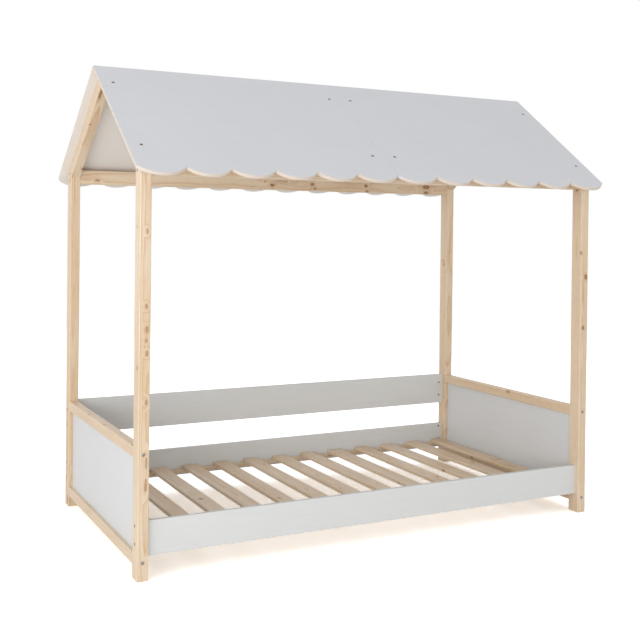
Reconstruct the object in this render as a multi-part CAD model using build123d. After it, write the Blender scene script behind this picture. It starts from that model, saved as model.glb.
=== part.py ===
from build123d import *
import os
from math import cos, radians, sin, tan

# House-shaped child's bed. The origin is on the floor under the middle of the bed.
# +X runs along the bed, -Y is the open front side and +Z is up. Lengths are in mm.

# Overall frame, over the outer faces of the four posts
frame_length = 1980.0
frame_depth = 1080.0

# Posts
post_width = 40.0
post_depth = 60.0
post_round = 3.0

# Roof
roof_height = 1829.0
roof_pitch = 35.0
roof_gable_overhang = 30.0
roof_eave_overhang = 82.5
roof_board = 12.0
roof_ridge_gap = 0.4
roof_seam_gap = 0.6
scallop_count = 12
scallop_depth = 42.0
scallop_end_extra = 10.0
roof_corner_round = 10.0

# Rafters
rafter_width = 40.0
rafter_depth = 50.0
rafter_round = 2.5
middle_rafter_offset = 50.0

# Eave beams
beam_height = 60.0
beam_thickness = 40.0
beam_round = 2.5
beam_roof_clearance = 0.5
beam_nut_inset = 95.0

# Side boards and the guard board
board_thickness = 18.0
board_round = 2.0
side_board_foot = 79.0
side_board_height = 122.5
guard_foot = 308.0
guard_height = 148.0
front_board_recess = 22.0
back_board_recess = 15.0
side_bolt_rise = 44.0
side_bolt_spacing = 63.0
guard_bolt_rise = 41.0
guard_bolt_spacing = 65.0
side_nut_inset = 20.0

# Slats and the battens that carry them
slat_count = 13
slat_width = 69.0
slat_thickness = 15.0
slat_round = 2.5
slat_end_clearance = 1.5
slat_margin_left = 33.0
slat_margin_right = 4.0
batten_width = 20.0
batten_height = 19.0
batten_round = 1.5
batten_rise = 9.5

# End frames
end_rail_foot = 44.0
end_rail_height = 40.0
end_frame_height = 409.0
end_rail_thickness = 36.0
end_rail_round = 4.0
end_nut_inset = 40.0
end_panel_thickness = 5.0
end_panel_tongue = 7.5
groove_depth = 8.0
groove_side_clearance = 0.15

# Bolts and barrel nuts
bolt_diameter = 6.0
bolt_hole_clearance = 0.5
bolt_head_diameter = 12.0
bolt_head_thickness = 3.0
bolt_head_sink = 0.4
bolt_head_clearance = 0.5
bolt_key_size = 4.0
bolt_key_depth = 2.0
bolt_past_nut = 8.0
bolt_end_clearance = 2.0
nut_diameter = 10.0
nut_length = 12.0
nut_clearance = 0.2
nut_thread_clearance = 0.1
nut_slot_width = 1.6
nut_slot_depth = 1.2

# Roof bolts, each in a flanged threaded insert in the top of its rafter. The upper ones are set out
# down the slope from the ridge. The lower ones enter their rafters a level gap inside the eave beams.
roof_bolt_upper = 130.0
roof_bolt_beam_gap = 9.3
roof_bolt_past_insert = 3.0
insert_diameter = 10.0
insert_length = 15.0
insert_flange_diameter = 13.0
insert_flange_thickness = 1.5
insert_clearance = 0.2

# Wood screws and dowels
screw_diameter = 4.0
screw_head_diameter = 8.0
screw_head_height = 2.4
screw_clearance = 0.15
slat_screw_length = 30.0
batten_screw_length = 32.0
batten_screw_count = 7
batten_screw_margin = 110.0
foot_screw_length = 68.0
foot_screw_drop = 9.0
foot_dowel_diameter = 8.0
foot_dowel_reach = 16.0
foot_dowel_inset = 15.0
ridge_dowel_diameter = 10.0
ridge_dowel_reach = 25.0
dowel_clearance = 0.1

# Worked out from the values above
pitch = radians(roof_pitch)
half_length = frame_length / 2
half_depth = frame_depth / 2
inner_half_length = half_length - post_width
inner_half_depth = half_depth - post_depth
rafter_top_peak = roof_height - roof_board / cos(pitch)
rafter_under_peak = roof_height - (roof_board + rafter_depth) / cos(pitch)
post_height = rafter_under_peak - inner_half_depth * tan(pitch)
slope_length = (half_depth + roof_eave_overhang) / cos(pitch)
beam_outer = inner_half_depth + beam_thickness
beam_top = rafter_top_peak - beam_outer * tan(pitch) - beam_roof_clearance
beam_foot = beam_top - beam_height
beam_bolt_inset = inner_half_depth + beam_thickness / 2
beam_bolt_low = (beam_foot + post_height) / 2
beam_bolt_high = (post_height + beam_top) / 2
end_frame_top = end_rail_foot + end_frame_height
end_centre = half_length - post_width / 2
batten_foot = side_board_foot + batten_rise
slat_foot = batten_foot + batten_height
recess_depth = bolt_head_thickness + bolt_head_sink
roof_bolt_entry = inner_half_depth - roof_bolt_beam_gap
roof_bolt_lower = roof_bolt_entry / cos(pitch) + roof_board * tan(pitch)
front_board_outer = -half_depth + front_board_recess
back_board_outer = half_depth - back_board_recess

LEFT = -1
RIGHT = 1
FRONT = -1
BACK = 1
SIDES = {"left": LEFT, "right": RIGHT}
FACES = {"front": FRONT, "back": BACK}

parts = {}


# Shared shapes

def block(xs, ys, zs):
    """A box between two places on each axis, given in any order."""
    x0, x1 = sorted(xs)
    y0, y1 = sorted(ys)
    z0, z1 = sorted(zs)
    return Pos(x0, y0, z0) * Box(x1 - x0, y1 - y0, z1 - z0, align=(Align.MIN,) * 3)


def rounded(solid, axis, radius):
    """The solid with its edges along one axis rounded."""
    return fillet(solid.edges().filter_by(axis), radius)


def rod(start, direction, diameter, length):
    """A round bar that runs from a point along a direction."""
    place = Plane(origin=start, z_dir=direction)
    return place * Cylinder(diameter / 2, length, align=(Align.CENTER, Align.CENTER, Align.MIN))


def along(start, direction, distance):
    """The point at a distance from a start along a direction."""
    return tuple(Vector(*start) + Vector(*direction).normalized() * distance)


# Fasteners. Each runs inwards from the point where its axis meets the outer face.

def bolt(face, inwards, length):
    """A round-headed bolt whose head sits in a recess, with a hexagonal key hole."""
    outwards = Vector(*inwards) * -1
    seat = along(face, inwards, recess_depth)
    place = Plane(origin=seat, z_dir=outwards)
    head = place * Cylinder(
        bolt_head_diameter / 2,
        bolt_head_thickness,
        align=(Align.CENTER, Align.CENTER, Align.MIN),
    )
    key_floor = place.offset(bolt_head_thickness - bolt_key_depth)
    key = extrude(key_floor * RegularPolygon(bolt_key_size / 2, 6, major_radius=False), bolt_key_depth)
    return head - key + rod(seat, inwards, bolt_diameter, length)


def bolt_hole(face, inwards, length):
    """The recess and clearance hole that a bolt of one length needs."""
    seat = along(face, inwards, recess_depth)
    recess = rod(face, inwards, bolt_head_diameter + 2 * bolt_head_clearance, recess_depth)
    shank = bolt_diameter + 2 * bolt_hole_clearance
    return recess + rod(seat, inwards, shank, length + bolt_end_clearance)


def barrel_nut(centre, outwards, bolt_axis):
    """A cross-drilled round nut with a slot in the end that shows."""
    start = along(centre, outwards, -nut_length / 2)
    body = rod(start, outwards, nut_diameter, nut_length)
    thread = nut_diameter + nut_length
    thread_start = along(centre, bolt_axis, -thread / 2)
    body -= rod(thread_start, bolt_axis, bolt_diameter + 2 * nut_thread_clearance, thread)
    end = Plane(origin=along(centre, outwards, nut_length / 2), x_dir=bolt_axis, z_dir=outwards)
    slot = end * Box(nut_diameter + 1, nut_slot_width, 2 * nut_slot_depth)
    return body - slot


def nut_hole(centre, outwards, depth):
    """The blind cross hole for a barrel nut, open at the face that lies depth away."""
    start = along(centre, outwards, -nut_length / 2 - nut_clearance)
    length = nut_length / 2 + nut_clearance + depth
    return rod(start, outwards, nut_diameter + 2 * nut_clearance, length)


def screw(face, inwards, length):
    """A countersunk wood screw whose head is flush with the face."""
    place = Plane(origin=face, z_dir=inwards)
    head = place * Cone(
        screw_head_diameter / 2,
        screw_diameter / 2,
        screw_head_height,
        align=(Align.CENTER, Align.CENTER, Align.MIN),
    )
    return head + rod(face, inwards, screw_diameter, length)


def screw_hole(face, inwards, length):
    """The countersunk hole for a wood screw."""
    place = Plane(origin=face, z_dir=inwards)
    sink = place * Cone(
        screw_head_diameter / 2 + screw_clearance,
        screw_diameter / 2 + screw_clearance,
        screw_head_height,
        align=(Align.CENTER, Align.CENTER, Align.MIN),
    )
    return sink + rod(face, inwards, screw_diameter + 2 * screw_clearance, length + screw_clearance)


# Places of the fasteners, as (point on the outer face, direction inwards, bolt length)

def board_middle(face):
    """The Y place of the middle of a long board's thickness."""
    if face == FRONT:
        return front_board_outer + board_thickness / 2
    return back_board_outer - board_thickness / 2


def side_bolt_heights(guard):
    """The heights of a board's two bolts at each end."""
    if guard:
        low = guard_foot + guard_bolt_rise
        return [low, low + guard_bolt_spacing]
    low = side_board_foot + side_bolt_rise
    return [low, low + side_bolt_spacing]


def side_bolt_places(side, face, guard=False):
    """Bolts through one post into the end of one long board."""
    length = post_width - recess_depth + side_nut_inset + bolt_past_nut
    return [
        ((side * half_length, board_middle(face), z), (-side, 0, 0), length)
        for z in side_bolt_heights(guard)
    ]


def end_bolt_places(side, face):
    """Bolts through one post into the ends of the two end rails."""
    length = post_depth - recess_depth + end_nut_inset + bolt_past_nut
    heights = [end_rail_foot + end_rail_height / 2, end_frame_top - end_rail_height / 2]
    return [
        ((side * end_centre, face * half_depth, z), (0, -face, 0), length)
        for z in heights
    ]


def beam_bolt_places(side, face):
    """Bolts through one post and one rafter foot into the end of an eave beam."""
    length = post_width - recess_depth + beam_nut_inset + bolt_past_nut
    return [
        ((side * half_length, face * beam_bolt_inset, z), (-side, 0, 0), length)
        for z in (beam_bolt_low, beam_bolt_high)
    ]


def roof_point(x, face, distance):
    """A point on the outer surface of the roof, a distance down the slope from the ridge."""
    return (x, face * distance * cos(pitch), roof_height - distance * sin(pitch))


def roof_inwards(face):
    """The direction square to a roof slope, into the bed."""
    return (0, -face * sin(pitch), -cos(pitch))


def roof_bolt_places(x, face):
    """Bolts through a roof board into the rafter under it."""
    length = roof_board - recess_depth + insert_length + roof_bolt_past_insert
    return [
        (roof_point(x, face, distance), roof_inwards(face), length)
        for distance in (roof_bolt_upper, roof_bolt_lower)
    ]


def insert_place(x, face, distance):
    """The point where a roof bolt's axis meets the top of its rafter."""
    return along(roof_point(x, face, distance), roof_inwards(face), roof_board)


def foot_screw_place(x, face):
    """The screw through an eave beam into the foot of a middle rafter."""
    return (x, face * beam_outer, beam_top - foot_screw_drop)


def slat_left_edge(index):
    """The X place of the left edge of one slat."""
    first = -inner_half_length + slat_margin_left
    last = inner_half_length - slat_margin_right - slat_width
    return first + (last - first) * index / (slat_count - 1)


def board_inner(face):
    """The Y place of a long board's inner face."""
    return board_middle(face) - face * board_thickness / 2


def slat_screw_place(index, face):
    """The screw through a slat's end, over the middle of the batten."""
    x = slat_left_edge(index) + slat_width / 2
    y = board_inner(face) - face * batten_width / 2
    return (x, y, slat_foot + slat_thickness)


def batten_screw_places(face):
    """The screws through a batten into its long board."""
    reach = inner_half_length - batten_screw_margin
    step = 2 * reach / (batten_screw_count - 1)
    y = board_inner(face) - face * batten_width
    z = batten_foot + batten_height / 2
    return [(-reach + step * index, y, z) for index in range(batten_screw_count)]


def end_rafter_x(side):
    """The X place of the middle of an end rafter."""
    return side * (half_length - rafter_width / 2)


def foot_dowel(side, face):
    """The dowel that stands in a post's top and the rafter foot on it."""
    start = (side * end_centre, face * (half_depth - foot_dowel_inset), post_height - foot_dowel_reach)
    return rod(start, (0, 0, 1), foot_dowel_diameter, 2 * foot_dowel_reach)


def foot_dowel_hole(side, face):
    """The hole for a foot dowel."""
    reach = foot_dowel_reach + dowel_clearance
    start = (side * end_centre, face * (half_depth - foot_dowel_inset), post_height - reach)
    return rod(start, (0, 0, 1), foot_dowel_diameter + 2 * dowel_clearance, 2 * reach)


def ridge_dowel_height():
    """The height of the dowels that join the rafters at the ridge."""
    return (rafter_top_peak + rafter_under_peak) / 2


def ridge_dowel(x, slack=0.0):
    """The level dowel across the plumb joint of a pair of rafters."""
    reach = ridge_dowel_reach + slack
    return rod((x, -reach, ridge_dowel_height()), (0, 1, 0), ridge_dowel_diameter + 2 * slack, 2 * reach)


# Posts

def post(side, face):
    """A corner post, bored for its bolts and grooved for the end panel."""
    xs = (side * half_length, side * inner_half_length)
    ys = (face * half_depth, face * inner_half_depth)
    solid = rounded(block(xs, ys, (0, post_height)), Axis.Z, post_round)
    places = side_bolt_places(side, face) + end_bolt_places(side, face)
    places.append(beam_bolt_places(side, face)[0])
    if face == BACK:
        places += side_bolt_places(side, face, guard=True)
    for place in places:
        solid -= bolt_hole(*place)
    groove = end_panel_thickness / 2 + groove_side_clearance
    slack = groove_depth - end_panel_tongue
    low = end_rail_foot + end_rail_height - groove_depth
    high = end_frame_top - end_rail_height + groove_depth
    solid -= block(
        (side * end_centre - groove, side * end_centre + groove),
        (face * inner_half_depth, face * (inner_half_depth + groove_depth)),
        (low - slack, high + slack),
    )
    return solid - foot_dowel_hole(side, face)


# End frames

def end_rail(side, top):
    """A cross rail between two posts, grooved along the panel's edge."""
    z0 = end_frame_top - end_rail_height if top else end_rail_foot
    z1 = z0 + end_rail_height
    x = side * end_centre
    xs = (x - end_rail_thickness / 2, x + end_rail_thickness / 2)
    solid = rounded(
        block(xs, (-inner_half_depth, inner_half_depth), (z0, z1)), Axis.Y, end_rail_round
    )
    groove = end_panel_thickness / 2 + groove_side_clearance
    lip = z0 if top else z1
    floor = z0 + groove_depth if top else z1 - groove_depth
    solid -= block((x - groove, x + groove), (-inner_half_depth, inner_half_depth), (lip, floor))
    for face in FACES.values():
        point, inwards, length = end_bolt_places(side, face)[1 if top else 0]
        solid -= bolt_hole(point, inwards, length)
        solid -= nut_hole(end_nut_centre(side, face, top), (0, 0, -1), end_rail_height / 2)
    return solid


def end_nut_centre(side, face, top):
    """The middle of a barrel nut in an end rail."""
    z = end_frame_top - end_rail_height / 2 if top else end_rail_foot + end_rail_height / 2
    return (side * end_centre, face * (inner_half_depth - end_nut_inset), z)


def end_panel(side):
    """The thin panel that fills an end frame, its edges in the grooves."""
    x = side * end_centre
    reach = inner_half_depth + end_panel_tongue
    return block(
        (x - end_panel_thickness / 2, x + end_panel_thickness / 2),
        (-reach, reach),
        (
            end_rail_foot + end_rail_height - end_panel_tongue,
            end_frame_top - end_rail_height + end_panel_tongue,
        ),
    )


# Long boards

def side_nut_centre(side, face, z):
    """The middle of a barrel nut in a long board."""
    return (side * (inner_half_length - side_nut_inset), board_middle(face), z)


def long_board(face, guard=False):
    """A long side board between two posts, bored for its bolts and nuts."""
    foot = guard_foot if guard else side_board_foot
    height = guard_height if guard else side_board_height
    middle = board_middle(face)
    solid = block(
        (-inner_half_length, inner_half_length),
        (middle - board_thickness / 2, middle + board_thickness / 2),
        (foot, foot + height),
    )
    solid = rounded(solid, Axis.X, board_round)
    for side in SIDES.values():
        for point, inwards, length in side_bolt_places(side, face, guard):
            solid -= bolt_hole(point, inwards, length)
            centre = side_nut_centre(side, face, point[2])
            solid -= nut_hole(centre, (0, -face, 0), board_thickness / 2)
    if not guard:
        for point in batten_screw_places(face):
            solid -= screw_hole(point, (0, face, 0), batten_screw_length)
    return solid


def batten(face):
    """The batten along a side board's inner face that carries the slats."""
    inner = board_inner(face)
    solid = block(
        (-inner_half_length, inner_half_length),
        (inner, inner - face * batten_width),
        (batten_foot, slat_foot),
    )
    solid = rounded(solid, Axis.X, batten_round)
    for point in batten_screw_places(face):
        solid -= screw_hole(point, (0, face, 0), batten_screw_length)
    for index in range(slat_count):
        solid -= screw_hole(slat_screw_place(index, face), (0, 0, -1), slat_screw_length)
    return solid


def slat(index):
    """One slat, from side board to side board."""
    left = slat_left_edge(index)
    solid = block(
        (left, left + slat_width),
        (board_inner(FRONT) + slat_end_clearance, board_inner(BACK) - slat_end_clearance),
        (slat_foot, slat_foot + slat_thickness),
    )
    solid = rounded(solid, Axis.Y, slat_round)
    for face in FACES.values():
        solid -= screw_hole(slat_screw_place(index, face), (0, 0, -1), slat_screw_length)
    return solid


# Roof frame

def beam_nut_centre(side, face, z):
    """The middle of a barrel nut in an eave beam, put in from the beam's outer face."""
    return (side * (inner_half_length - beam_nut_inset), face * beam_bolt_inset, z)


def eave_beam(face):
    """The beam along an eave, between two posts and the feet of two end rafters."""
    solid = block(
        (-inner_half_length, inner_half_length),
        (face * inner_half_depth, face * beam_outer),
        (beam_foot, beam_top),
    )
    solid = rounded(solid, Axis.X, beam_round)
    for side in SIDES.values():
        for point, inwards, length in beam_bolt_places(side, face):
            solid -= bolt_hole(point, inwards, length)
            centre = beam_nut_centre(side, face, point[2])
            solid -= nut_hole(centre, (0, face, 0), beam_thickness / 2)
        x = side * middle_rafter_offset
        solid -= screw_hole(foot_screw_place(x, face), (0, -face, 0), foot_screw_length)
    return solid


def rafter_blank(x, face, outline):
    """A rafter cut to an outline of (depth, height) points, with its long edges rounded."""
    points = [(face * depth, height) for depth, height in outline]
    section = Plane.YZ.offset(x - rafter_width / 2) * Polygon(*points, align=None)
    solid = extrude(section, rafter_width, dir=(1, 0, 0))
    slope = Vector(0, face * cos(pitch), -sin(pitch))
    long_edges = [
        edge for edge in solid.edges() if abs(abs((edge % 0.5).dot(slope)) - 1) < 1e-6
    ]
    return fillet(long_edges, rafter_round)


def bore_rafter(solid, x, face):
    """The rafter with its roof bolt holes, insert seats and ridge dowel hole."""
    inwards = roof_inwards(face)
    sleeve = insert_diameter + 2 * insert_clearance
    flange = insert_flange_diameter + 2 * insert_clearance
    for place in roof_bolt_places(x, face):
        solid -= bolt_hole(*place)
    for distance in (roof_bolt_upper, roof_bolt_lower):
        top = insert_place(x, face, distance)
        solid -= rod(top, inwards, sleeve, insert_length)
        solid -= rod(top, inwards, flange, insert_flange_thickness)
    return solid - ridge_dowel(x, dowel_clearance)


def end_rafter(side, face):
    """A gable rafter with a level seat on its post and a plumb cut over the post's face."""
    x = end_rafter_x(side)
    outline = [
        (0, rafter_under_peak),
        (0, rafter_top_peak),
        (half_depth, rafter_top_peak - half_depth * tan(pitch)),
        (half_depth, post_height),
        (inner_half_depth, post_height),
    ]
    solid = bore_rafter(rafter_blank(x, face, outline), x, face)
    solid -= bolt_hole(*beam_bolt_places(side, face)[1])
    return solid - foot_dowel_hole(side, face)


def middle_rafter(side, face):
    """A rafter beside the seam, with a plumb foot against the eave beam."""
    x = side * middle_rafter_offset
    outline = [
        (0, rafter_under_peak),
        (0, rafter_top_peak),
        (inner_half_depth, rafter_top_peak - inner_half_depth * tan(pitch)),
        (inner_half_depth, post_height),
    ]
    solid = bore_rafter(rafter_blank(x, face, outline), x, face)
    return solid - screw_hole(foot_screw_place(x, face), (0, -face, 0), foot_screw_length)


# Roof boards

def roof_panel(side, face):
    """A quarter of the roof, with a scalloped eave and a plumb cut at the ridge."""
    end = half_length + roof_gable_overhang
    seam = roof_seam_gap / 2
    per_panel = scallop_count // 2
    step = (end - 2 * scallop_end_extra) / per_panel
    cusps = [end - scallop_end_extra - step * index for index in range(1, per_panel)]
    cusps = [end] + cusps + [seam]
    cusp = slope_length - scallop_depth
    lines = [Line((seam, cusp), (seam, 0)), Line((seam, 0), (end, 0)), Line((end, 0), (end, cusp))]
    for right, left in zip(cusps, cusps[1:]):
        tip = ((right + left) / 2, slope_length)
        lines.append(ThreePointArc((right, cusp), tip, (left, cusp)))
    outline = make_face(Wire(lines))
    corner = outline.vertices().sort_by_distance((end, cusp))[0]
    outline = fillet(corner, roof_corner_round)
    # The outline is drawn with x along the bed and y down the slope.
    down = Vector(0, face * cos(pitch), -sin(pitch))
    inwards = Vector(*roof_inwards(face))
    along_bed = Vector(side, 0, 0)
    normal = along_bed.cross(down)
    place = Plane(origin=(0, 0, roof_height), x_dir=along_bed, z_dir=normal)
    solid = extrude(place * outline, roof_board, dir=inwards)
    tall = roof_height
    solid -= block(
        (-2 * end, 2 * end), (face * roof_ridge_gap / 2, -face * tall), (0, 2 * tall)
    )
    for x in (side * middle_rafter_offset, end_rafter_x(side)):
        for point, direction, length in roof_bolt_places(x, face):
            solid -= bolt_hole(point, direction, length)
    return solid


def insert(x, face, distance):
    """A flanged threaded insert, flush with the top of a rafter, for one roof bolt."""
    top = insert_place(x, face, distance)
    inwards = roof_inwards(face)
    sleeve = rod(top, inwards, insert_diameter, insert_length)
    flange = rod(top, inwards, insert_flange_diameter, insert_flange_thickness)
    bore = bolt_diameter + 2 * nut_thread_clearance
    return sleeve + flange - rod(top, inwards, bore, insert_length)


def rafter_xs():
    """The X places of the rafters, from left to right."""
    middles = [LEFT * middle_rafter_offset, RIGHT * middle_rafter_offset]
    return [end_rafter_x(LEFT)] + middles + [end_rafter_x(RIGHT)]


# The assembly

def add_frames():
    for side_name, side in SIDES.items():
        for face_name, face in FACES.items():
            parts[f"post_{face_name}_{side_name}"] = post(side, face)
            parts[f"end_rafter_{face_name}_{side_name}"] = end_rafter(side, face)
            parts[f"middle_rafter_{face_name}_{side_name}"] = middle_rafter(side, face)
            parts[f"roof_panel_{face_name}_{side_name}"] = roof_panel(side, face)
        parts[f"end_rail_bottom_{side_name}"] = end_rail(side, top=False)
        parts[f"end_rail_top_{side_name}"] = end_rail(side, top=True)
        parts[f"end_panel_{side_name}"] = end_panel(side)


def add_boards():
    for face_name, face in FACES.items():
        parts[f"side_board_{face_name}"] = long_board(face)
        parts[f"slat_batten_{face_name}"] = batten(face)
        parts[f"eave_beam_{face_name}"] = eave_beam(face)
    parts["guard_board_back"] = long_board(BACK, guard=True)
    for index in range(slat_count):
        parts[f"slat_{index + 1:02d}"] = slat(index)


def add_fasteners():
    corners = [(side, face) for side in SIDES.values() for face in FACES.values()]
    side_places = []
    side_nuts = []
    for side, face in corners:
        boards = [False, True] if face == BACK else [False]
        for guard in boards:
            for place in side_bolt_places(side, face, guard):
                side_places.append(place)
                centre = side_nut_centre(side, face, place[0][2])
                side_nuts.append(barrel_nut(centre, (0, -face, 0), (1, 0, 0)))
    parts["side_board_bolts"] = [bolt(*place) for place in side_places]
    parts["side_board_barrel_nuts"] = side_nuts
    parts["end_rail_bolts"] = [
        bolt(*place) for side, face in corners for place in end_bolt_places(side, face)
    ]
    parts["end_rail_barrel_nuts"] = [
        barrel_nut(end_nut_centre(side, face, top), (0, 0, -1), (0, 1, 0))
        for side, face in corners
        for top in (False, True)
    ]
    parts["eave_beam_bolts"] = [
        bolt(*place) for side, face in corners for place in beam_bolt_places(side, face)
    ]
    parts["eave_beam_barrel_nuts"] = [
        barrel_nut(beam_nut_centre(side, face, z), (0, face, 0), (1, 0, 0))
        for side, face in corners
        for z in (beam_bolt_low, beam_bolt_high)
    ]
    rafters = [(x, face) for x in rafter_xs() for face in FACES.values()]
    parts["roof_bolts"] = [bolt(*place) for x, face in rafters for place in roof_bolt_places(x, face)]
    parts["roof_bolt_inserts"] = [
        insert(x, face, distance)
        for x, face in rafters
        for distance in (roof_bolt_upper, roof_bolt_lower)
    ]
    parts["slat_screws"] = [
        screw(slat_screw_place(index, face), (0, 0, -1), slat_screw_length)
        for index in range(slat_count)
        for face in FACES.values()
    ]
    parts["batten_screws"] = [
        screw(point, (0, face, 0), batten_screw_length)
        for face in FACES.values()
        for point in batten_screw_places(face)
    ]
    parts["middle_rafter_screws"] = [
        screw(foot_screw_place(side * middle_rafter_offset, face), (0, -face, 0), foot_screw_length)
        for side, face in corners
    ]
    parts["post_dowels"] = [foot_dowel(side, face) for side, face in corners]
    parts["ridge_dowels"] = [ridge_dowel(x) for x in rafter_xs()]


def write_parts():
    os.makedirs("parts", exist_ok=True)
    for name, shape in parts.items():
        shape = Compound(children=shape) if isinstance(shape, list) else shape
        shape.label = name
        export_step(shape, f"parts/{name}.step")


add_frames()
add_boards()
add_fasteners()
write_parts()
print(len(parts), "nodes; post height", round(post_height, 1), "beam", round(beam_foot, 1))
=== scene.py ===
import math
import random

import bpy
from mathutils import Matrix, Vector


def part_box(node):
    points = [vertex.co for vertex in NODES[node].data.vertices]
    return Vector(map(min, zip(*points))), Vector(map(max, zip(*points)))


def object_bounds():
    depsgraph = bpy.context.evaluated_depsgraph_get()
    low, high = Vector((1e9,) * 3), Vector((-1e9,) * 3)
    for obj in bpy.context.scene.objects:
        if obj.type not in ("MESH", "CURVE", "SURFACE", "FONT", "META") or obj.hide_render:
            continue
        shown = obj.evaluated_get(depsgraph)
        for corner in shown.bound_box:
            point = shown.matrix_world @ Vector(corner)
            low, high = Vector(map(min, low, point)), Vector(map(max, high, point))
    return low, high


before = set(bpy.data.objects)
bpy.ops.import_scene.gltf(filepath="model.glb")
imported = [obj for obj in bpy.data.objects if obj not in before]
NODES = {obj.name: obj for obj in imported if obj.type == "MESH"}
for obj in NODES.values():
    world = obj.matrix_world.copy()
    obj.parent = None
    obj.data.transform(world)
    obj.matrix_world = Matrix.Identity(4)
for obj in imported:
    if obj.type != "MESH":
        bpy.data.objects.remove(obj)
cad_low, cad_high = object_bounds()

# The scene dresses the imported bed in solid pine, painted boards, steel and beech, lights it plainly and
# sets the camera. Lengths are in metres, in the frame's own axes: X along the bed, Y from front to back,
# Z up. A noise scale is the number of noise cells in a metre, and one of three parts has its own number
# for each direction.

MILLIMETRE = 0.001
SIDES = ("left", "right")
ROWS = ("front", "back")
X_AXIS = (1, 0, 0)
Y_AXIS = (0, 1, 0)
Z_AXIS = (0, 0, 1)

ROOF_PITCH = math.radians(35)
RIDGE_TOP = cad_high.z
SLOPE = {
    "front": Vector((0, -math.cos(ROOF_PITCH), -math.sin(ROOF_PITCH))),
    "back": Vector((0, math.cos(ROOF_PITCH), -math.sin(ROOF_PITCH))),
}
SLOPE_INWARD = {
    "front": Vector((0, math.sin(ROOF_PITCH), -math.cos(ROOF_PITCH))),
    "back": Vector((0, -math.sin(ROOF_PITCH), -math.cos(ROOF_PITCH))),
}
RAFTER_UNDERSIDE_DEPTH = 0.062
CAMERA_PLACE = Vector((-1.9782, -3.8348, 1.2175))


def colour(red, green, blue):
    """A colour written in 0 to 255 as it shows on screen, as the linear colour that a shader takes."""
    linear = []
    for part in (red, green, blue):
        value = part / 255
        linear.append(value / 12.92 if value <= 0.04045 else ((value + 0.055) / 1.055) ** 2.4)
    return (*linear, 1.0)


def grey(value):
    """A linear grey."""
    return (value, value, value, 1)


def darker(paint, share):
    """A linear colour at a share of its strength."""
    return tuple(share * part for part in paint[:3]) + (1,)


def slope_point(side, distance, depth, x):
    """A point at a distance down the slope from the ridge and a depth under the roof's top face."""
    point = Vector((x, 0, RIDGE_TOP))
    return point + SLOPE[side] * distance + SLOPE_INWARD[side] * depth


# Node trees

MIX_FIRST_COLOUR = 6
MIX_SECOND_COLOUR = 7
MIX_COLOUR_RESULT = 2


class Tree:
    """Short calls for the nodes of one material or node group."""

    def __init__(self, tree):
        self.tree = tree

    def node(self, kind, **settings):
        made = self.tree.nodes.new(kind)
        for name, value in settings.items():
            setattr(made, name, value)
        return made

    def feed(self, socket, value):
        """Links a socket to another, or sets its own value."""
        if isinstance(value, bpy.types.NodeSocket):
            self.tree.links.new(value, socket)
        else:
            socket.default_value = value

    def math(self, operation, *values):
        made = self.node("ShaderNodeMath", operation=operation)
        for socket, value in zip(made.inputs, values):
            self.feed(socket, value)
        return made.outputs[0]

    def vector(self, operation, *values, scale=None):
        made = self.node("ShaderNodeVectorMath", operation=operation)
        for socket, value in zip(made.inputs, values):
            self.feed(socket, value)
        if scale is not None:
            self.feed(made.inputs["Scale"], scale)
        scalar = operation in ("DOT_PRODUCT", "LENGTH", "DISTANCE")
        return made.outputs["Value" if scalar else "Vector"]

    def join(self, x, y, z):
        made = self.node("ShaderNodeCombineXYZ")
        for socket, value in zip(made.inputs, (x, y, z)):
            self.feed(socket, value)
        return made.outputs[0]

    def hypotenuse(self, first, second):
        squares = [self.math("MULTIPLY", value, value) for value in (first, second)]
        return self.math("SQRT", self.math("ADD", *squares))

    def mix(self, factor, first, second, blend="MIX"):
        made = self.node("ShaderNodeMix", data_type="RGBA", blend_type=blend)
        self.feed(made.inputs["Factor"], factor)
        self.feed(made.inputs[MIX_FIRST_COLOUR], first)
        self.feed(made.inputs[MIX_SECOND_COLOUR], second)
        return made.outputs[MIX_COLOUR_RESULT]

    def noise(self, place, scale=None, detail=2.0, roughness=0.5):
        """Noise at a place, with one scale or a scale of three parts, or with none."""
        if isinstance(scale, tuple):
            place = self.vector("MULTIPLY", place, scale)
        elif scale is not None:
            place = self.vector("SCALE", place, scale=scale)
        made = self.node("ShaderNodeTexNoise")
        self.feed(made.inputs["Vector"], place)
        self.feed(made.inputs["Scale"], 1.0)
        self.feed(made.inputs["Detail"], detail)
        self.feed(made.inputs["Roughness"], roughness)
        return made.outputs["Fac"]

    def fade(self, value, starts, full, amount=1.0, least=0.0, smooth=True):
        """The least where the value starts, the whole amount where it is full, and held at both ends."""
        made = self.node("ShaderNodeMapRange")
        made.interpolation_type = "SMOOTHSTEP" if smooth else "LINEAR"
        for name, number in zip(("Value", "From Min", "From Max", "To Min", "To Max"),
                                (value, starts, full, least, amount)):
            self.feed(made.inputs[name], number)
        return made.outputs[0]

    def ramp(self, factor, stops):
        """A ramp of greys through (position, grey) stops."""
        made = self.node("ShaderNodeValToRGB")
        elements = made.color_ramp.elements
        while len(elements) < len(stops):
            elements.new(0.5)
        for element, (position, value) in zip(elements, stops):
            element.position = position
            element.color = grey(value)
        self.feed(made.inputs[0], factor)
        return made.outputs[0]

    def place(self):
        """The piece's own coordinates, which are the frame's."""
        return self.node("ShaderNodeTexCoord").outputs["Object"]

    def normal(self):
        return self.node("ShaderNodeTexCoord").outputs["Normal"]


def new_group(name, inputs, outputs):
    """A node group, its helper, its input sockets and its output sockets."""
    group = bpy.data.node_groups.new(name, "ShaderNodeTree")
    for socket_name, kind in inputs:
        group.interface.new_socket(socket_name, in_out="INPUT", socket_type=kind)
    for socket_name, kind in outputs:
        group.interface.new_socket(socket_name, in_out="OUTPUT", socket_type=kind)
    tree = Tree(group)
    return group, tree, tree.node("NodeGroupInput").outputs, tree.node("NodeGroupOutput").inputs


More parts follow.
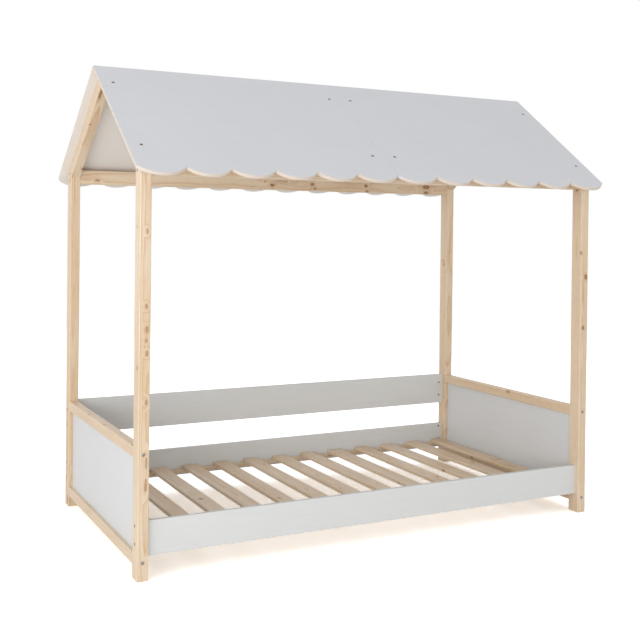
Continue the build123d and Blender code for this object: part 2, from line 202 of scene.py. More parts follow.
def use_group(tree, group, **values):
    """The outputs of a group in a tree, with its inputs fed by name, underscores standing for spaces."""
    made = tree.node("ShaderNodeGroup", node_tree=group)
    for name, value in values.items():
        tree.feed(made.inputs[name.replace("_", " ")], value)
    return made.outputs


def new_material(name, slot_colour, metallic=0.0):
    """A material, the helper of its tree and its shader."""
    made = bpy.data.materials.new(name)
    made.use_nodes = True
    made.diffuse_color = slot_colour
    shader = made.node_tree.nodes["Principled BSDF"]
    shader.inputs["Metallic"].default_value = metallic
    return made, Tree(made.node_tree), shader


def raise_grain(tree, shader, heights):
    """Bump from several (height, strength, distance) triples, one on another."""
    surface = None
    for height, strength, distance in heights:
        bump = tree.node("ShaderNodeBump")
        bump.inputs["Strength"].default_value = strength
        bump.inputs["Distance"].default_value = distance
        tree.feed(bump.inputs["Height"], height)
        if surface is not None:
            tree.feed(bump.inputs["Normal"], surface)
        surface = bump.outputs[0]
    tree.feed(shader.inputs["Normal"], surface)


# Pine

FLOAT = "NodeSocketFloat"
VECTOR = "NodeSocketVector"
COLOUR = "NodeSocketColor"

PINE_PALE = colour(233, 218, 195)
PINE_MIDDLE = colour(224, 205, 177)
PINE_LATE = colour(194, 154, 110)
PINE_WARM = colour(213, 179, 139)
PINE_RESIN = colour(176, 112, 62)
PINE_END = colour(196, 152, 105)
PINE_TONE = (0.93, 0.92, 0.91, 1.0)
KNOT_HEART = colour(150, 92, 52)
KNOT_LIGHT = colour(188, 128, 80)
KNOT_RIM = colour(84, 50, 30)

# Distances in and round a knot are shares of its radius.
KNOT_WOBBLE_SCALE = 160.0
KNOT_WOBBLE = 0.5
KNOT_RING_TURNS = 19.0

# The noises of the wood have one scale along the grain and another in the two directions across it.
WANDER_SCALE = (1.6, 5.0, 5.0)
WANDER_WIDTH = 0.034
RIPPLE_SCALE = (7.0, 34.0, 34.0)
RIPPLE_WIDTH = 0.0032
BROAD_SCALE = (0.9, 9.0, 9.0)
FIBRE_SCALE = (7.0, 420.0, 420.0)
HAIR_SCALE = (30.0, 1500.0, 1500.0)
STREAK_SCALE = (3.2, 120.0, 120.0)
PORE_SCALE = 900.0
PATCH_SCALE = 38.0

RING_WIDTH = 0.0042
RING_SPREAD_SCALE = 95.0
RING_SPREAD = 1.5
RING_SHADES = ((0.0, 0.06), (0.42, 0.12), (0.80, 0.62), (0.93, 1.0), (1.0, 0.1))
FAINT_RINGS = 0.42
STRONG_RINGS_GAIN = 0.45
END_RINGS = 0.55
FIBRE_HEIGHT = 0.5
HAIR_HEIGHT = 0.3
RING_HEIGHT = 0.35


def make_knot_group():
    """A branch's cut: how deep a point is in the knot, in its rim and in the grain that bends round it."""
    group, tree, given, out = new_group(
        "Knot",
        [("Place", VECTOR), ("Centre", VECTOR), ("Grain", VECTOR), ("Radius", FLOAT), ("Stretch", FLOAT)],
        [("Mask", FLOAT), ("Rim", FLOAT), ("Halo", FLOAT), ("Rings", FLOAT)])
    away = tree.vector("SUBTRACT", given["Place"], given["Centre"])
    along = tree.vector("DOT_PRODUCT", away, given["Grain"])
    long_part = tree.vector("SCALE", given["Grain"], scale=along)
    cross = tree.vector("LENGTH", tree.vector("SUBTRACT", away, long_part))
    squeezed = tree.math("DIVIDE", along, given["Stretch"])
    ratio = tree.math("DIVIDE", tree.hypotenuse(cross, squeezed), given["Radius"])
    wobble = tree.math("SUBTRACT", tree.noise(given["Place"], KNOT_WOBBLE_SCALE), 0.5)
    ratio = tree.math("ADD", ratio, tree.math("MULTIPLY", wobble, KNOT_WOBBLE))
    tree.feed(out["Mask"], tree.fade(ratio, starts=1.08, full=0.88))
    rim_inside = tree.fade(ratio, starts=0.55, full=0.95)
    rim_outside = tree.fade(ratio, starts=1.3, full=1.0)
    tree.feed(out["Rim"], tree.math("MULTIPLY", rim_inside, rim_outside))
    tree.feed(out["Halo"], tree.fade(ratio, starts=4.2, full=0.8))
    turns = tree.math("SINE", tree.math("MULTIPLY", ratio, KNOT_RING_TURNS))
    tree.feed(out["Rings"], tree.math("MULTIPLY_ADD", turns, 0.5, 0.5))
    return group


def make_edge_group():
    """The distance to the nearest edge of a piece's box, from the distances to its middle."""
    group, tree, given, out = new_group(
        "EdgeDistance",
        [("Along", FLOAT), ("Across", FLOAT), ("Deep", FLOAT),
         ("Half Along", FLOAT), ("Half Across", FLOAT), ("Half Deep", FLOAT)],
        [("Distance", FLOAT)])
    gaps = []
    for name in ("Along", "Across", "Deep"):
        gaps.append(tree.math("SUBTRACT", given["Half " + name], tree.math("ABSOLUTE", given[name])))
    nearer = tree.math("MINIMUM", gaps[1], gaps[2])
    farther = tree.math("MAXIMUM", gaps[1], gaps[2])
    tree.feed(out["Distance"], tree.math("MAXIMUM", nearer, tree.math("MINIMUM", farther, gaps[0])))
    return group


def make_pine_group():
    """Solid pine: growth rings round a pith line, fibre, resin and end grain, for any cut through it."""
    group, tree, given, out = new_group(
        "SolidPine",
        [("Along", FLOAT), ("Across", FLOAT), ("Deep", FLOAT), ("Pith Across", FLOAT), ("Pith Deep", FLOAT),
         ("Seed", FLOAT), ("Bend", FLOAT), ("End Grain", FLOAT), ("Warmth", FLOAT)],
        [("Colour", COLOUR), ("Height", FLOAT), ("Late", FLOAT), ("Fibre", FLOAT)])
    seeded = tree.join(tree.math("ADD", given["Along"], given["Seed"]), given["Across"], given["Deep"])

    wander = tree.noise(seeded, WANDER_SCALE, 2.0, 0.45)
    ripple = tree.noise(seeded, RIPPLE_SCALE, 2.0, 0.5)
    side = tree.math("SUBTRACT", given["Across"], given["Pith Across"])
    depth = tree.math("SUBTRACT", given["Deep"], given["Pith Deep"])
    radius = tree.hypotenuse(side, depth)
    radius = tree.math("MULTIPLY_ADD", tree.math("SUBTRACT", wander, 0.5), WANDER_WIDTH, radius)
    radius = tree.math("MULTIPLY_ADD", tree.math("SUBTRACT", ripple, 0.5), RIPPLE_WIDTH, radius)
    radius = tree.math("ADD", radius, given["Bend"])
    spread_place = tree.join(tree.math("MULTIPLY", radius, RING_SPREAD_SCALE), given["Seed"], 0.0)
    spread = tree.noise(spread_place, detail=1.0)
    turn = tree.math("MULTIPLY_ADD", spread, RING_SPREAD, tree.math("DIVIDE", radius, RING_WIDTH))
    late = tree.ramp(tree.math("FRACT", turn), RING_SHADES)

    broad = tree.noise(seeded, BROAD_SCALE, 3.0, 0.5)
    fibre = tree.noise(seeded, FIBRE_SCALE, 3.0, 0.6)
    hair = tree.noise(seeded, HAIR_SCALE, 2.0, 0.6)
    streak = tree.noise(seeded, STREAK_SCALE, 1.0, 0.4)
    shade = tree.mix(tree.fade(broad, starts=0.34, full=0.68), PINE_PALE, PINE_MIDDLE)
    warm = tree.math("MULTIPLY", tree.fade(broad, starts=0.52, full=0.80), given["Warmth"])
    shade = tree.mix(warm, shade, PINE_WARM)
    strength = tree.math(
        "MULTIPLY_ADD", tree.fade(wander, starts=0.3, full=0.7), STRONG_RINGS_GAIN, FAINT_RINGS)
    shade = tree.mix(tree.math("MULTIPLY", late, strength), shade, PINE_LATE)
    shade = tree.mix(tree.fade(fibre, starts=0.30, full=0.72, amount=0.20, smooth=False), shade, PINE_LATE)
    shade = tree.mix(tree.fade(hair, starts=0.25, full=0.75, amount=0.10, smooth=False), shade, PINE_WARM)
    shade = tree.mix(tree.fade(streak, starts=0.66, full=0.80, amount=0.55), shade, PINE_RESIN)

    pores = tree.noise(seeded, PORE_SCALE)
    end = tree.mix(tree.math("MULTIPLY", late, END_RINGS), PINE_END, PINE_RESIN)
    end = tree.mix(tree.fade(pores, starts=0.35, full=0.75, amount=0.35), end, KNOT_LIGHT)
    tree.feed(out["Colour"], tree.mix(given["End Grain"], shade, end))

    height = tree.math("MULTIPLY_ADD", fibre, FIBRE_HEIGHT, tree.math("MULTIPLY", hair, HAIR_HEIGHT))
    tree.feed(out["Height"], tree.math("MULTIPLY_ADD", late, RING_HEIGHT, height))
    tree.feed(out["Late"], late)
    tree.feed(out["Fibre"], fibre)
    return group


KNOT_GROUP = make_knot_group()
EDGE_GROUP = make_edge_group()
PINE_GROUP = make_pine_group()


class Stick:
    """A pine piece: its grain direction, its two cross directions, its middle and its half sizes."""

    def __init__(self, name, grain, across):
        self.name = name
        self.grain = Vector(grain).normalized()
        self.across = Vector(across).normalized()
        self.deep = self.grain.cross(self.across)
        self.axes = (self.grain, self.across, self.deep)
        self.middle = []
        self.half = []
        points = [vertex.co for vertex in NODES[name].data.vertices]
        for axis in self.axes:
            low = min(axis.dot(point) for point in points)
            high = max(axis.dot(point) for point in points)
            self.middle.append((low + high) / 2)
            self.half.append((high - low) / 2)

    def point(self, along, across, deep):
        """A point given as shares of the half sizes from the middle."""
        shares = (along, across, deep)
        parts = [axis * (m + s * h) for axis, m, s, h in zip(self.axes, self.middle, shares, self.half)]
        return parts[0] + parts[1] + parts[2]


KNOT_REACH = 0.9
KNOT_SLIDE = 0.7
KNOT_RADII_IN_MILLIMETRES = (2.2, 5.5)
KNOT_STRETCHES = (1.0, 1.7)
KNOT_DARKNESSES = (0.3, 1.0)


def random_knots(stick, chance, count, far_only):
    """Made-up knots on a stick's long faces, or only on the faces turned away from the camera.

    Each is (centre, radius, stretch, darkness).
    """
    made = []
    while len(made) < count:
        along = chance.uniform(-KNOT_REACH, KNOT_REACH)
        side = chance.choice((-1.0, 1.0))
        slide = chance.uniform(-KNOT_SLIDE, KNOT_SLIDE)
        on_edge = chance.random() < 0.5
        centre = stick.point(along, side, slide) if on_edge else stick.point(along, slide, side)
        face = (stick.across if on_edge else stick.deep) * side
        if far_only and face.dot(CAMERA_PLACE - centre) > 0:
            continue
        radius = chance.uniform(*KNOT_RADII_IN_MILLIMETRES) * MILLIMETRE
        made.append((centre, radius, chance.uniform(*KNOT_STRETCHES), chance.uniform(*KNOT_DARKNESSES)))
    return made


PITH_ASIDE = 0.5
PITH_BEYOND = (0.004, 0.05)
SEED_RANGE = (0, 60)
KNOT_BEND = 1.3

# The darker a knot, the more its halo, heart and rim cover the wood. Heart and rim have a least share.
HALO_POWER = 2.0
HALO_DARK_COVER = 0.5
HEART_COVER = 0.45
HEART_DARK_COVER = 0.5
RIM_COVER = 0.35
RIM_DARK_COVER = 0.55

WEAR_COVER = 0.35
GRIME_COVER = 0.07
PINE_ROUGHNESS = 0.44
FIBRE_ROUGHNESS = 0.16
RING_ROUGHNESS = -0.07
WEAR_ROUGHNESS = -0.08
SATIN_SPECULAR = 0.4
PINE_COAT = 0.45
PINE_COAT_ROUGHNESS = 0.32

# Bumps are (strength, distance).
PINE_SWELL_BUMP = (0.10, 0.0006)
PINE_GRAIN_BUMP = (0.22, 0.0004)


def pine_material(stick, knots, seed, warmth):
    """Pine for one stick, cut from its own log, with its knots and dark marks where they are, some marks
    being painted shade.
    """
    chance = random.Random(seed)
    made, tree, shader = new_material("pine_" + stick.name, PINE_MIDDLE)
    place = tree.place()
    parts = []
    for axis, middle in zip(stick.axes, stick.middle):
        parts.append(tree.math("SUBTRACT", tree.vector("DOT_PRODUCT", place, tuple(axis)), middle))
    along, across, deep = parts

    knot_and_shade_parts = []
    bend = 0.0
    for centre, radius, stretch, darkness in knots:
        found = use_group(tree, KNOT_GROUP, Place=place, Centre=tuple(centre), Grain=tuple(stick.grain),
                          Radius=radius, Stretch=stretch)
        knot_and_shade_parts.append((found, darkness))
        bend = tree.math("MULTIPLY_ADD", found["Halo"], radius * KNOT_BEND, bend)

    facing = tree.math("ABSOLUTE", tree.vector("DOT_PRODUCT", tree.normal(), tuple(stick.grain)))
    wood = use_group(
        tree, PINE_GROUP, Along=along, Across=across, Deep=deep,
        Pith_Across=chance.uniform(-PITH_ASIDE, PITH_ASIDE) * stick.half[1],
        Pith_Deep=chance.choice((-1, 1)) * (stick.half[2] + chance.uniform(*PITH_BEYOND)),
        Seed=chance.uniform(*SEED_RANGE), Bend=bend, Warmth=warmth,
        End_Grain=tree.fade(facing, starts=0.6, full=0.85))
    edge = use_group(
        tree, EDGE_GROUP, Along=along, Across=across, Deep=deep,
        Half_Along=stick.half[0], Half_Across=stick.half[1], Half_Deep=stick.half[2])

    shade = wood["Colour"]
    # Knots, and dark marks of painted shade drawn as knots.
    for found, darkness in knot_and_shade_parts:
        halo = tree.math("POWER", found["Halo"], HALO_POWER)
        halo = tree.math("MULTIPLY", halo, HALO_DARK_COVER * darkness)
        heart = tree.math("MULTIPLY", found["Mask"], HEART_COVER + HEART_DARK_COVER * darkness)
        rim = tree.math("MULTIPLY", found["Rim"], RIM_COVER + RIM_DARK_COVER * darkness)
        shade = tree.mix(halo, shade, PINE_LATE)
        shade = tree.mix(heart, shade, tree.mix(found["Rings"], KNOT_HEART, KNOT_LIGHT))
        shade = tree.mix(rim, shade, KNOT_RIM)

    patches = tree.noise(place, PATCH_SCALE, detail=3.0)
    at_edge = tree.fade(edge["Distance"], starts=0.0042, full=0.0008)
    wear = tree.math("MULTIPLY", at_edge, tree.fade(patches, starts=0.35, full=0.65))
    shade = tree.mix(tree.math("MULTIPLY", wear, WEAR_COVER), shade, PINE_PALE)
    off_edge = tree.fade(edge["Distance"], starts=0.0, full=0.012)
    grime = tree.math("MULTIPLY", off_edge, tree.fade(patches, starts=0.62, full=0.30))
    shade = tree.mix(tree.math("MULTIPLY", grime, GRIME_COVER), shade, PINE_RESIN)
    tree.feed(shader.inputs["Base Color"], tree.mix(1.0, shade, PINE_TONE, blend="MULTIPLY"))

    dull = tree.math("MULTIPLY_ADD", wood["Fibre"], FIBRE_ROUGHNESS, PINE_ROUGHNESS)
    dull = tree.math("MULTIPLY_ADD", wood["Late"], RING_ROUGHNESS, dull)
    dull = tree.math("MULTIPLY_ADD", wear, WEAR_ROUGHNESS, dull)
    tree.feed(shader.inputs["Roughness"], dull)
    shader.inputs["Specular IOR Level"].default_value = SATIN_SPECULAR
    shader.inputs["Coat Weight"].default_value = PINE_COAT
    shader.inputs["Coat Roughness"].default_value = PINE_COAT_ROUGHNESS
    raise_grain(tree, shader, [(patches, *PINE_SWELL_BUMP), (wood["Height"], *PINE_GRAIN_BUMP)])
    return made


def dress(name, material):
    for slot in NODES[name].material_slots:
        slot.material = material


pine_sticks = []
for row in ROWS:
    pine_sticks.append(Stick(f"eave_beam_{row}", X_AXIS, Z_AXIS))
    pine_sticks.append(Stick(f"slat_batten_{row}", X_AXIS, Z_AXIS))
    for side in SIDES:
        pine_sticks.append(Stick(f"post_{row}_{side}", Z_AXIS, X_AXIS))
        pine_sticks.append(Stick(f"end_rafter_{row}_{side}", SLOPE[row], X_AXIS))
        pine_sticks.append(Stick(f"middle_rafter_{row}_{side}", SLOPE[row], X_AXIS))
for side in SIDES:
    for level in ("bottom", "top"):
        pine_sticks.append(Stick(f"end_rail_{level}_{side}", Y_AXIS, X_AXIS))
slat_names = sorted(name for name in NODES if name.startswith("slat_") and name[-2:].isdigit())
for name in slat_names:
    pine_sticks.append(Stick(name, Y_AXIS, X_AXIS))

# The faces that the shown knots open on.
POST_LEFT_FACE = -0.990
POST_FRONT_FACE = -0.540
RAIL_TOP = 0.453
BACK_BEAM_FACE = 0.480
SLAT_TOP = 0.1225

# Knots and other dark marks that the photograph shows, two of them painted shade, as (centre, radius,
# stretch, darkness).
SHOWN_KNOTS_AND_SHADE = {
    "post_front_left": [
        ((POST_LEFT_FACE, -0.519, 0.729), 0.0045, 1.5, 0.8),
        ((POST_LEFT_FACE, -0.505, 1.210), 0.0032, 1.3, 0.5),
        ((-0.964, POST_FRONT_FACE, 1.195), 0.0035, 2.2, 0.10),
        ((-0.965, POST_FRONT_FACE, 0.940), 0.0042, 1.8, 0.10),
        ((-0.963, POST_FRONT_FACE, 0.861), 0.0046, 1.9, 0.12),
        ((-0.964, POST_FRONT_FACE, 0.823), 0.0038, 1.6, 0.10),
        ((-0.962, POST_FRONT_FACE, 0.779), 0.0044, 1.8, 0.12),
        ((-0.963, POST_FRONT_FACE, 0.612), 0.0042, 2.2, 0.15),
        ((-0.961, POST_FRONT_FACE, 0.405), 0.0038, 5.0, 0.20),
        ((-0.962, POST_FRONT_FACE, 0.330), 0.0040, 5.0, 0.20),
    ],
    "post_front_right": [
        ((0.978, POST_FRONT_FACE, 1.014), 0.0062, 1.5, 1.0),
        ((0.966, POST_FRONT_FACE, 0.796), 0.0050, 1.4, 0.9),
        ((0.951, -0.538, 1.118), 0.0038, 1.6, 0.7),
        ((0.950, -0.508, 1.393), 0.0065, 1.3, 1.0),
    ],
    "post_back_left": [((POST_LEFT_FACE, 0.490, 0.030), 0.0075, 2.2, 0.6)],
    "end_rail_top_left": [
        ((-0.982, -0.457, RAIL_TOP), 0.0048, 1.9, 0.5),
        ((-0.982, -0.074, RAIL_TOP), 0.0042, 2.4, 0.4),
        ((-0.984, 0.159, RAIL_TOP), 0.0038, 2.0, 0.4),
    ],
    "end_rail_top_right": [((0.952, -0.045, 0.447), 0.0060, 1.6, 0.45)],
    "eave_beam_back": [
        ((-0.044, BACK_BEAM_FACE, 1.4148), 0.0075, 1.2, 1.0),
        # Painted shadow of the left middle rafter's foot on the beam, drawn as a small dark knot.
        ((-0.083, BACK_BEAM_FACE, 1.4278), 0.0030, 1.2, 0.7),
        ((0.167, BACK_BEAM_FACE, 1.4211), 0.0055, 1.3, 0.9),
        ((0.181, BACK_BEAM_FACE, 1.4021), 0.0040, 1.2, 0.8),
        ((0.464, BACK_BEAM_FACE, 1.4224), 0.0060, 1.3, 0.9),
        ((0.470, BACK_BEAM_FACE, 1.3953), 0.0045, 1.3, 0.8),
        ((0.818, BACK_BEAM_FACE, 1.4260), 0.0078, 2.2, 1.0),
        ((0.818, BACK_BEAM_FACE, 1.3968), 0.0065, 1.6, 1.0),
        ((-0.876, BACK_BEAM_FACE, 1.4080), 0.0040, 2.2, 0.5),
    ],
    "end_rafter_back_left": [
        (slope_point("back", 0.276, RAFTER_UNDERSIDE_DEPTH, -0.980), 0.0030, 1.2, 1.0),
        # A long dark streak under the rafter near the apex, drawn in the knot's pattern.
        (slope_point("back", 0.094, RAFTER_UNDERSIDE_DEPTH, -0.980), 0.0034, 6.5, 0.8),
        # Painted shade of the dark gap above the back beam at the rafter's foot, drawn as a dark knot.
        (slope_point("back", 0.567, RAFTER_UNDERSIDE_DEPTH, -0.951), 0.0050, 1.4, 1.0),
    ],
}
SLAT_KNOTS = [
    ((-0.588, -0.066, SLAT_TOP), 0.0065, 1.3, 0.9),
    ((-0.300, -0.187, SLAT_TOP), 0.0060, 1.3, 0.8),
    ((0.773, -0.021, SLAT_TOP), 0.0060, 1.3, 0.8),
    ((0.946, 0.289, SLAT_TOP), 0.0060, 1.4, 0.8),
    ((0.926, -0.013, SLAT_TOP), 0.0050, 1.3, 0.8),
]
for knot in SLAT_KNOTS:
    for name in slat_names:
        low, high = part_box(name)
        if low.x <= knot[0][0] <= high.x:
            SHOWN_KNOTS_AND_SHADE.setdefault(name, []).append(knot)

PIECE_SEED = 1000
LOG_SEED = 50
EXTRA_KNOT_COUNTS = (2, 3, 4)
WARMTHS = (0.35, 0.95)

for number, stick in enumerate(pine_sticks):
    piece_chance = random.Random(PIECE_SEED + number)
    shown = SHOWN_KNOTS_AND_SHADE.get(stick.name, [])
    extra = piece_chance.choice(EXTRA_KNOT_COUNTS)
    knots = shown + random_knots(stick, piece_chance, extra, far_only=bool(shown))
    warmth = piece_chance.uniform(*WARMTHS)
    dress(stick.name, pine_material(stick, knots, LOG_SEED + number, warmth))


# Painted boards

ROOF_GREY = colour(206, 207, 211)
BOARD_GREY = colour(209, 210, 209)
ROOF_EDGE = colour(213, 201, 188)
ROOF_UNDERSIDE = colour(226, 221, 215)
PANEL_GREY = colour(206, 207, 208)
ROLLER_LIGHT = (1.0, 0.99, 0.97, 1)
SPECK = colour(150, 146, 142)
CLOUD_SHARE = 0.86
CORE_SHARE = 0.82

CLOUD_SCALE = 2.6
ROLLER_SCALE_ALONG = 6.0
ROLLER_SCALE_ACROSS = 180.0
CORE_SCALE = 240.0
SPECK_SCALE = 75.0
PEEL_SCALE = 520.0
SMEAR_SCALE = 7.0

PAINT_ROUGHNESS = 0.34
SMEAR_ROUGHNESS = 0.16
EDGE_ROUGHNESS = 0.2
ROLLER_BUMP = (0.05, 0.0005)
PEEL_BUMP = (0.10, 0.0002)


def painted_material(name, paint, face, edge_paint, long_axis, underside=None):
    """Satin lacquer on board: faint clouds of tone, roller texture, and edges of their own colour.

    The ends that meet at the bed's middle keep the face's colour.
    """
    made, tree, shader = new_material(name, paint)
    place = tree.place()
    clouds = tree.noise(place, CLOUD_SCALE, detail=3.0)
    roller_scale = tuple(ROLLER_SCALE_ALONG if part else ROLLER_SCALE_ACROSS for part in long_axis)
    roller = tree.noise(place, roller_scale, detail=3.0)
    specks = tree.noise(place, SPECK_SCALE)
    shade = tree.mix(tree.fade(clouds, starts=0.3, full=0.7, amount=0.10), paint, darker(paint, CLOUD_SHARE))
    shade = tree.mix(tree.fade(roller, starts=0.3, full=0.7, amount=0.05), shade, ROLLER_LIGHT)

    facing = tree.vector("DOT_PRODUCT", tree.normal(), tuple(face))
    if underside is not None:
        shade = tree.mix(tree.fade(facing, starts=-0.2, full=-0.8), shade, underside)
    side = tree.fade(tree.math("ABSOLUTE", facing), starts=0.92, full=0.55)
    core = tree.noise(place, CORE_SCALE)
    raw = tree.mix(
        tree.fade(core, starts=0.35, full=0.7, amount=0.35), edge_paint, darker(edge_paint, CORE_SHARE))
    from_middle = tree.math("ABSOLUTE", tree.vector("DOT_PRODUCT", place, X_AXIS))
    off_seam = tree.fade(from_middle, starts=0.01, full=0.02)
    shade = tree.mix(tree.math("MULTIPLY", side, off_seam), shade, raw)
    shade = tree.mix(tree.fade(specks, starts=0.76, full=0.84, amount=0.16), shade, SPECK)
    tree.feed(shader.inputs["Base Color"], shade)

    smears = tree.noise(place, SMEAR_SCALE, detail=4.0)
    gloss = tree.math("MULTIPLY_ADD", smears, SMEAR_ROUGHNESS, PAINT_ROUGHNESS)
    gloss = tree.math("MULTIPLY_ADD", side, EDGE_ROUGHNESS, gloss)
    tree.feed(shader.inputs["Roughness"], gloss)
    shader.inputs["Specular IOR Level"].default_value = SATIN_SPECULAR
    peel = tree.noise(place, PEEL_SCALE)
    raise_grain(tree, shader, [(roller, *ROLLER_BUMP), (peel, *PEEL_BUMP)])
    return made


for row in ROWS:
    top_face = -SLOPE_INWARD[row]
    for side in SIDES:
        dress(f"roof_panel_{row}_{side}", painted_material(
            f"roof_paint_{row}_{side}", ROOF_GREY, top_face, ROOF_EDGE, X_AXIS, underside=ROOF_UNDERSIDE))
for name in ("side_board_front", "side_board_back", "guard_board_back"):
    dress(name, painted_material("paint_" + name, BOARD_GREY, Y_AXIS, BOARD_GREY, X_AXIS))
for side in SIDES:
    dress(f"end_panel_{side}", painted_material(
        f"paint_end_panel_{side}", PANEL_GREY, X_AXIS, PANEL_GREY, Y_AXIS))


# Steel and dowels

BOLT_GREY = colour(132, 131, 129)
BOLT_RUB = colour(182, 180, 176)
BOLT_DARK = colour(84, 82, 80)
BOLT_DARK_RUB = colour(134, 131, 128)
ZINC = colour(176, 178, 182)
ZINC_DULL = colour(138, 139, 142)
NUT_DARK = colour(104, 105, 108)
BEECH = colour(206, 166, 122)
BEECH_DARK = colour(168, 122, 82)

STEEL_METALLIC = 0.9
SCRATCH_SCALE = (900.0, 4200.0, 900.0)
PLATING_ROUGHNESS = 0.22
SCRATCH_ROUGHNESS = 0.12
SCRATCH_BUMP = (0.12, 0.00008)
PLATING_BUMP = (0.08, 0.0001)

# Steels are (material name, colour, rubbed colour, roughness, scale of the plating's patches, pieces).
STEELS = [
    ("frame_bolt_steel", BOLT_GREY, BOLT_RUB, 0.42, 420.0,
     ("side_board_bolts", "end_rail_bolts", "eave_beam_bolts")),
    ("roof_bolt_steel", BOLT_DARK, BOLT_DARK_RUB, 0.48, 420.0,
     ("roof_bolts",)),
    ("zinc_steel_surface", ZINC, ZINC_DULL, 0.38, 650.0,
     ("roof_bolt_inserts", "slat_screws", "batten_screws", "middle_rafter_screws")),
    ("nut_steel_surface", NUT_DARK, ZINC_DULL, 0.45, 520.0,
     ("side_board_barrel_nuts", "end_rail_barrel_nuts", "eave_beam_barrel_nuts")),
]


def steel_material(name, base, worn, roughness, patch_scale):
    """Plated steel with fine scratches, a patchy plating and rubbed high spots."""
    made, tree, shader = new_material(name, base, STEEL_METALLIC)
    place = tree.place()
    patches = tree.noise(place, patch_scale, detail=3.0)
    scratches = tree.noise(place, SCRATCH_SCALE, 2.0, 0.7)
    shade = tree.mix(tree.fade(patches, starts=0.40, full=0.62), base, worn)
    shade = tree.mix(tree.fade(scratches, starts=0.60, full=0.75, amount=0.5), shade, worn)
    tree.feed(shader.inputs["Base Color"], shade)
    dull = tree.math("MULTIPLY_ADD", patches, PLATING_ROUGHNESS, roughness - PLATING_ROUGHNESS / 2)
    tree.feed(shader.inputs["Roughness"], tree.math("MULTIPLY_ADD", scratches, SCRATCH_ROUGHNESS, dull))
    raise_grain(tree, shader, [(scratches, *SCRATCH_BUMP), (patches, *PLATING_BUMP)])
    return made


for name, base, worn, roughness, patch_scale, pieces in STEELS:
    steel = steel_material(name, base, worn, roughness, patch_scale)
    for piece in pieces:
        dress(piece, steel)

FLECK_SCALE_ACROSS = 220.0
FLECK_SCALE_ALONG = 40.0
BEECH_ROUGHNESS = 0.42
FLECK_ROUGHNESS = 0.2
FLECK_BUMP = (0.2, 0.0003)


def beech_material(name, grain):
    """Turned beech with short dark flecks along its grain, which runs along one of the frame's axes."""
    made, tree, shader = new_material(name, BEECH)
    fleck_scale = tuple(FLECK_SCALE_ALONG if part else FLECK_SCALE_ACROSS for part in grain)
    flecks = tree.noise(tree.place(), fleck_scale, 3.0, 0.6)
    shade = tree.mix(tree.fade(flecks, starts=0.45, full=0.75, amount=0.6), BEECH, BEECH_DARK)
    tree.feed(shader.inputs["Base Color"], shade)
    dull = tree.math("MULTIPLY_ADD", flecks, FLECK_ROUGHNESS, BEECH_ROUGHNESS)
    tree.feed(shader.inputs["Roughness"], dull)
    raise_grain(tree, shader, [(flecks, *FLECK_BUMP)])
    return made


dress("post_dowels", beech_material("beech_upright", Z_AXIS))
dress("ridge_dowels", beech_material("beech_level", Y_AXIS))


# Floor, light and camera

FLOOR_SIZE = 60.0
FLOOR_SCALE = 30.0

# The floor's texture runs between two greys: one pair for the camera and one for the light it gives back.
FLOOR_SEEN = (1.95, 1.92)
FLOOR_BOUNCE = (1.00, 0.98)
FLOOR_FADE_NEAR = 3.0
FLOOR_FADE_FAR = 9.0
WORLD_HORIZON = 0.78
WORLD_ZENITH = 0.70

# Lamps are (name, place, target, width, height, watts).
LAMPS = [
    ("front_lamp", (-3.9, -5.8, 1.0), (0, 0, 1.0), 5.0, 1.8, 155.0),
    ("left_lamp", (-6.0, -2.0, 2.4), (0, 0, 0.9), 3.0, 1.6, 78.0),
]


def add_object(name, data):
    made = bpy.data.objects.new(name, data)
    bpy.context.scene.collection.objects.link(made)
    return made


def background_share(tree, rays):
    """1 for the rays that show the background: from the camera, a gloss or through glass. Otherwise 0."""
    shown = tree.math("MAXIMUM", rays["Is Camera Ray"], rays["Is Glossy Ray"])
    return tree.math("MAXIMUM", shown, rays["Is Transmission Ray"])


def make_floor():
    """A pale floor that keeps the bed's shadow and melts into the white behind it."""
    half = FLOOR_SIZE / 2
    mesh = bpy.data.meshes.new("studio_floor")
    corners = [(-half, -half, 0), (half, -half, 0), (half, half, 0), (-half, half, 0)]
    mesh.from_pydata(corners, [], [(0, 1, 2, 3)])
    floor = add_object("studio_floor", mesh)
    made = bpy.data.materials.new("studio_floor_pale")
    made.use_nodes = True
    tree = Tree(made.node_tree)
    made.node_tree.nodes.remove(made.node_tree.nodes["Principled BSDF"])
    rays = tree.node("ShaderNodeLightPath").outputs
    place = tree.place()
    texture = tree.noise(place, FLOOR_SCALE, detail=3.0)
    bounce = tree.mix(texture, grey(FLOOR_BOUNCE[0]), grey(FLOOR_BOUNCE[1]))
    seen = tree.mix(texture, grey(FLOOR_SEEN[0]), grey(FLOOR_SEEN[1]))
    diffuse = tree.node("ShaderNodeBsdfDiffuse")
    tree.feed(diffuse.inputs["Color"], tree.mix(rays["Is Camera Ray"], bounce, seen))
    white = tree.node("ShaderNodeEmission")
    white.inputs["Strength"].default_value = 1.0
    reach = tree.vector("LENGTH", tree.vector("MULTIPLY", place, (1.0, 1.0, 0.0)))
    away = tree.fade(reach, starts=FLOOR_FADE_NEAR, full=FLOOR_FADE_FAR)
    blend = tree.node("ShaderNodeMixShader")
    tree.feed(blend.inputs[0], tree.math("MULTIPLY", away, background_share(tree, rays)))
    tree.feed(blend.inputs[1], diffuse.outputs[0])
    tree.feed(blend.inputs[2], white.outputs[0])
    tree.feed(made.node_tree.nodes["Material Output"].inputs["Surface"], blend.outputs[0])
    mesh.materials.append(made)


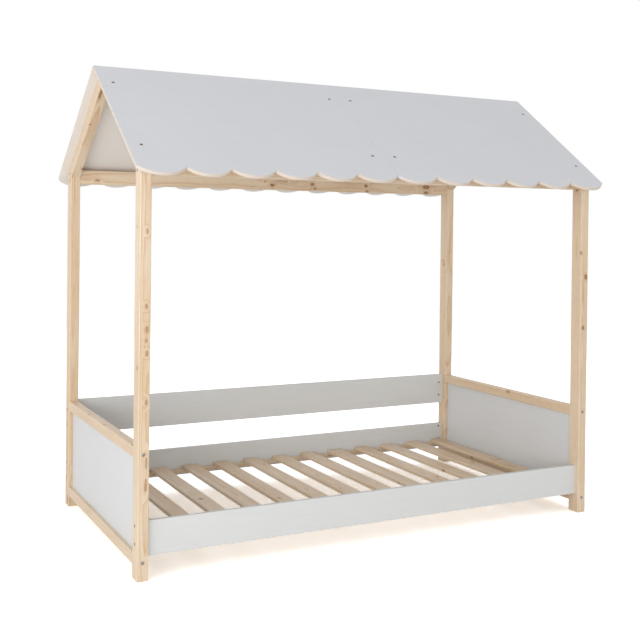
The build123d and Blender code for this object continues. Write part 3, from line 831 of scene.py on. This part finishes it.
def make_world():
    """Even studio light from all round, and white where the camera or a gloss sees past the floor."""
    world = bpy.data.worlds.new("studio_world")
    bpy.context.scene.world = world
    world.use_nodes = True
    tree = Tree(world.node_tree)
    world.node_tree.nodes.clear()
    shown = background_share(tree, tree.node("ShaderNodeLightPath").outputs)
    direction = tree.node("ShaderNodeTexCoord").outputs["Generated"]
    height = tree.vector("DOT_PRODUCT", direction, Z_AXIS)
    light = tree.fade(height, starts=0.0, full=1.0, amount=WORLD_ZENITH, least=WORLD_HORIZON, smooth=False)
    background = tree.node("ShaderNodeBackground")
    background.inputs["Color"].default_value = grey(1)
    tree.feed(background.inputs["Strength"], tree.math("MAXIMUM", light, shown))
    tree.feed(tree.node("ShaderNodeOutputWorld").inputs["Surface"], background.outputs[0])


def area_lamp(name, place, target, width, height, watts):
    """A flat lamp at a place, looking at a target."""
    data = bpy.data.lights.new(name, "AREA")
    data.shape = "RECTANGLE"
    data.size = width
    data.size_y = height
    data.energy = watts
    lamp = add_object(name, data)
    direction = Vector(target) - Vector(place)
    lamp.location = place
    lamp.rotation_euler = direction.to_track_quat("-Z", "Y").to_euler()


make_floor()
make_world()
for lamp in LAMPS:
    area_lamp(*lamp)

IMAGE_WIDTH = 640
IMAGE_HEIGHT = 627
SENSOR_WIDTH = 36.0
CAMERA_YAW = math.radians(27.576)
CAMERA_PITCH = math.radians(-0.5096)
CAMERA_ROLL = math.radians(0.648)
FOCAL_PIXELS = 997.21
CENTRE_U = 331.757
CENTRE_V = 235.747
CAMERA_REACH = 200.0


def make_camera():
    """The camera at the photograph's place, turned, pitched and rolled as the photograph's was."""
    forward = Vector((math.sin(CAMERA_YAW) * math.cos(CAMERA_PITCH),
                      math.cos(CAMERA_YAW) * math.cos(CAMERA_PITCH), math.sin(CAMERA_PITCH)))
    level_right = Vector((math.cos(CAMERA_YAW), -math.sin(CAMERA_YAW), 0))
    level_up = level_right.cross(forward)
    right = level_right * math.cos(CAMERA_ROLL) + level_up * math.sin(CAMERA_ROLL)
    up = level_up * math.cos(CAMERA_ROLL) - level_right * math.sin(CAMERA_ROLL)
    data = bpy.data.cameras.new("photo_camera")
    data.sensor_fit = "HORIZONTAL"
    data.sensor_width = SENSOR_WIDTH
    data.lens = FOCAL_PIXELS * SENSOR_WIDTH / IMAGE_WIDTH
    data.shift_x = (IMAGE_WIDTH / 2 - CENTRE_U) / IMAGE_WIDTH
    data.shift_y = (CENTRE_V - IMAGE_HEIGHT / 2) / IMAGE_WIDTH
    data.clip_end = CAMERA_REACH
    camera = add_object("photo_camera", data)
    turn = Matrix((right, up, -forward)).transposed().to_4x4()
    camera.matrix_world = Matrix.Translation(CAMERA_PLACE) @ turn
    bpy.context.scene.camera = camera


make_camera()
bpy.context.scene.view_settings.view_transform = "Standard"
